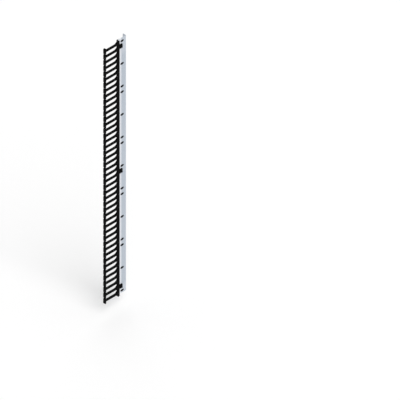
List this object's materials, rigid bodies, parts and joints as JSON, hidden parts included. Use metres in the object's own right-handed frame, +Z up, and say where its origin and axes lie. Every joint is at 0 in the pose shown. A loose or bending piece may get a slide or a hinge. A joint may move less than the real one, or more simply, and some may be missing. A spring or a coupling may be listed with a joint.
{
  "type": "vertical cable manager",
  "caption": "Tall folded sheet-metal plate with moulded finger modules along one edge and captive-screw feet, for routing cables beside a rack",
  "frame": {"origin": "axis of the lowest captive screw, on the front face of its foot", "axes": "-X along the fingers to their heads, -Y out of the feet towards the rack, +Z up"},
  "size_m": [0.2111, 0.052, 2.0002],
  "materials": {
    "plate_paint": "satin powder coat",
    "black_moulding": "fine moulded grain",
    "black_steel": "black oxide",
    "plated_steel": "zinc plated",
    "nylon": "natural nylon"
  },
  "bodies": {
    "manager": {"mounting_plate": "plate_paint", "finger_module_1": "black_moulding", "finger_module_2": "black_moulding", "finger_module_3": "black_moulding", "finger_module_4": "black_moulding", "finger_module_5": "black_moulding", "module_screw_01": "black_steel", "module_screw_02": "black_steel", "module_screw_03": "black_steel", "module_screw_04": "black_steel", "module_screw_05": "black_steel", "module_screw_06": "black_steel", "module_screw_07": "black_steel", "module_screw_08": "black_steel", "module_screw_09": "black_steel", "module_screw_10": "black_steel", "module_screw_11": "black_steel", "module_screw_12": "black_steel", "module_screw_13": "black_steel", "module_screw_14": "black_steel", "module_screw_15": "black_steel", "module_nut_01": "plated_steel", "module_nut_02": "plated_steel", "module_nut_03": "plated_steel", "module_nut_04": "plated_steel", "module_nut_05": "plated_steel", "module_nut_06": "plated_steel", "module_nut_07": "plated_steel", "module_nut_08": "plated_steel", "module_nut_09": "plated_steel", "module_nut_10": "plated_steel", "module_nut_11": "plated_steel", "module_nut_12": "plated_steel", "module_nut_13": "plated_steel", "module_nut_14": "plated_steel", "module_nut_15": "plated_steel", "mounting_foot_bottom": "black_moulding", "foot_bush_bottom": "black_steel", "retaining_ring_bottom": "nylon", "washer_bottom": "black_steel", "mounting_foot_middle": "black_moulding", "foot_bush_middle": "black_steel", "retaining_ring_middle": "nylon", "washer_middle": "black_steel", "mounting_foot_top": "black_moulding", "foot_bush_top": "black_steel", "retaining_ring_top": "nylon", "washer_top": "black_steel"},
    "bottom_screw_body": {"captive_screw_bottom": "black_steel"},
    "middle_screw_body": {"captive_screw_middle": "black_steel"},
    "top_screw_body": {"captive_screw_top": "black_steel"}
  },
  "joints": [
    {"name": "bottom_screw_spin", "type": "hinge", "parent": "manager", "child": "bottom_screw_body", "pos_m": [0, 0, 0], "axis": [0, 1, 0], "continuous": true},
    {"name": "middle_screw_spin", "type": "hinge", "parent": "manager", "child": "middle_screw_body", "pos_m": [0, 0, 0.90487], "axis": [0, 1, 0], "continuous": true},
    {"name": "top_screw_spin", "type": "hinge", "parent": "manager", "child": "top_screw_body", "pos_m": [0, 0, 1.88278], "axis": [0, 1, 0], "continuous": true}
  ]
}
